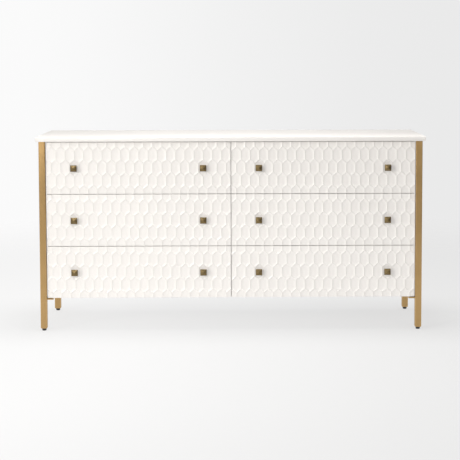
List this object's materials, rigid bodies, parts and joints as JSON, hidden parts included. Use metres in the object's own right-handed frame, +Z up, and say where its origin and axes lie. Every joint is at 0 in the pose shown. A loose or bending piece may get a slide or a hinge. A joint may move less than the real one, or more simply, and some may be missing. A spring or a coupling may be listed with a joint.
{
  "type": "dresser with drawers",
  "caption": "Wide white dresser with two columns of carved-front drawers on slides, square pyramid knobs, and brass corner legs with black glides.",
  "frame": {"origin": "on the floor, under the middle of the whole object's width and depth, knobs included", "axes": "+X to the right seen from the front, -Y to the front, where the drawers open, +Z up"},
  "size_m": [1.524, 0.463, 0.765],
  "materials": {
    "white_lacquer": "satin white lacquer on board",
    "back_board": "white painted hardboard",
    "drawer_wood": "clear-coated light hardwood",
    "drawer_board": "clear-coated plywood",
    "dowel_wood": "bare beech",
    "antique_brass": "brushed antique brass plate",
    "dark_brass": "dark antique brass",
    "slide_steel": "zinc-plated steel",
    "screw_steel": "zinc-plated steel",
    "black_plastic": "moulded black plastic"
  },
  "bodies": {
    "case": {"top_panel": "white_lacquer", "left_side_panel": "white_lacquer", "right_side_panel": "white_lacquer", "bottom_panel": "white_lacquer", "back_panel": "back_board", "center_divider": "white_lacquer", "case_rails": "white_lacquer", "case_dowels": "dowel_wood", "back_panel_screws": "screw_steel", "front_left_leg": "antique_brass", "front_right_leg": "antique_brass", "back_left_leg": "antique_brass", "back_right_leg": "antique_brass", "foot_glides": "black_plastic", "under_rails": "antique_brass", "leg_top_plates": "antique_brass", "frame_screws": "screw_steel", "case_slide_members": "slide_steel"},
    "bottom_left_drawer": {"bottom_left_drawer_front": "white_lacquer", "bottom_left_drawer_box": "drawer_wood", "bottom_left_drawer_bottom": "drawer_board", "bottom_left_knobs": "dark_brass", "bottom_left_drawer_screws": "screw_steel", "bottom_left_drawer_slide_members": "slide_steel"},
    "bottom_left_middle_slide": {"bottom_left_middle_slide_members": "slide_steel"},
    "bottom_right_drawer": {"bottom_right_drawer_front": "white_lacquer", "bottom_right_drawer_box": "drawer_wood", "bottom_right_drawer_bottom": "drawer_board", "bottom_right_knobs": "dark_brass", "bottom_right_drawer_screws": "screw_steel", "bottom_right_drawer_slide_members": "slide_steel"},
    "bottom_right_middle_slide": {"bottom_right_middle_slide_members": "slide_steel"},
    "middle_left_drawer": {"middle_left_drawer_front": "white_lacquer", "middle_left_drawer_box": "drawer_wood", "middle_left_drawer_bottom": "drawer_board", "middle_left_knobs": "dark_brass", "middle_left_drawer_screws": "screw_steel", "middle_left_drawer_slide_members": "slide_steel"},
    "middle_left_middle_slide": {"middle_left_middle_slide_members": "slide_steel"},
    "middle_right_drawer": {"middle_right_drawer_front": "white_lacquer", "middle_right_drawer_box": "drawer_wood", "middle_right_drawer_bottom": "drawer_board", "middle_right_knobs": "dark_brass", "middle_right_drawer_screws": "screw_steel", "middle_right_drawer_slide_members": "slide_steel"},
    "middle_right_middle_slide": {"middle_right_middle_slide_members": "slide_steel"},
    "top_left_drawer": {"top_left_drawer_front": "white_lacquer", "top_left_drawer_box": "drawer_wood", "top_left_drawer_bottom": "drawer_board", "top_left_knobs": "dark_brass", "top_left_drawer_screws": "screw_steel", "top_left_drawer_slide_members": "slide_steel"},
    "top_left_middle_slide": {"top_left_middle_slide_members": "slide_steel"},
    "top_right_drawer": {"top_right_drawer_front": "white_lacquer", "top_right_drawer_box": "drawer_wood", "top_right_drawer_bottom": "drawer_board", "top_right_knobs": "dark_brass", "top_right_drawer_screws": "screw_steel", "top_right_drawer_slide_members": "slide_steel"},
    "top_right_middle_slide": {"top_right_middle_slide_members": "slide_steel"}
  },
  "joints": [
    {"name": "bottom_left_drawer_slide", "type": "slide", "parent": "case", "child": "bottom_left_drawer", "axis": [0, -1, 0], "range_m": [0, 0.33]},
    {"name": "bottom_left_middle_slide_travel", "type": "slide", "parent": "case", "child": "bottom_left_middle_slide", "axis": [0, -1, 0], "range_m": [0, 0.165]},
    {"name": "bottom_right_drawer_slide", "type": "slide", "parent": "case", "child": "bottom_right_drawer", "axis": [0, -1, 0], "range_m": [0, 0.33]},
    {"name": "bottom_right_middle_slide_travel", "type": "slide", "parent": "case", "child": "bottom_right_middle_slide", "axis": [0, -1, 0], "range_m": [0, 0.165]},
    {"name": "middle_left_drawer_slide", "type": "slide", "parent": "case", "child": "middle_left_drawer", "axis": [0, -1, 0], "range_m": [0, 0.33]},
    {"name": "middle_left_middle_slide_travel", "type": "slide", "parent": "case", "child": "middle_left_middle_slide", "axis": [0, -1, 0], "range_m": [0, 0.165]},
    {"name": "middle_right_drawer_slide", "type": "slide", "parent": "case", "child": "middle_right_drawer", "axis": [0, -1, 0], "range_m": [0, 0.33]},
    {"name": "middle_right_middle_slide_travel", "type": "slide", "parent": "case", "child": "middle_right_middle_slide", "axis": [0, -1, 0], "range_m": [0, 0.165]},
    {"name": "top_left_drawer_slide", "type": "slide", "parent": "case", "child": "top_left_drawer", "axis": [0, -1, 0], "range_m": [0, 0.33]},
    {"name": "top_left_middle_slide_travel", "type": "slide", "parent": "case", "child": "top_left_middle_slide", "axis": [0, -1, 0], "range_m": [0, 0.165]},
    {"name": "top_right_drawer_slide", "type": "slide", "parent": "case", "child": "top_right_drawer", "axis": [0, -1, 0], "range_m": [0, 0.33]},
    {"name": "top_right_middle_slide_travel", "type": "slide", "parent": "case", "child": "top_right_middle_slide", "axis": [0, -1, 0], "range_m": [0, 0.165]}
  ],
  "couplings": [
    {"joint": "bottom_left_middle_slide_travel", "follows": "bottom_left_drawer_slide", "ratio": 0.5},
    {"joint": "bottom_right_middle_slide_travel", "follows": "bottom_right_drawer_slide", "ratio": 0.5},
    {"joint": "middle_left_middle_slide_travel", "follows": "middle_left_drawer_slide", "ratio": 0.5},
    {"joint": "middle_right_middle_slide_travel", "follows": "middle_right_drawer_slide", "ratio": 0.5},
    {"joint": "top_left_middle_slide_travel", "follows": "top_left_drawer_slide", "ratio": 0.5},
    {"joint": "top_right_middle_slide_travel", "follows": "top_right_drawer_slide", "ratio": 0.5}
  ]
}
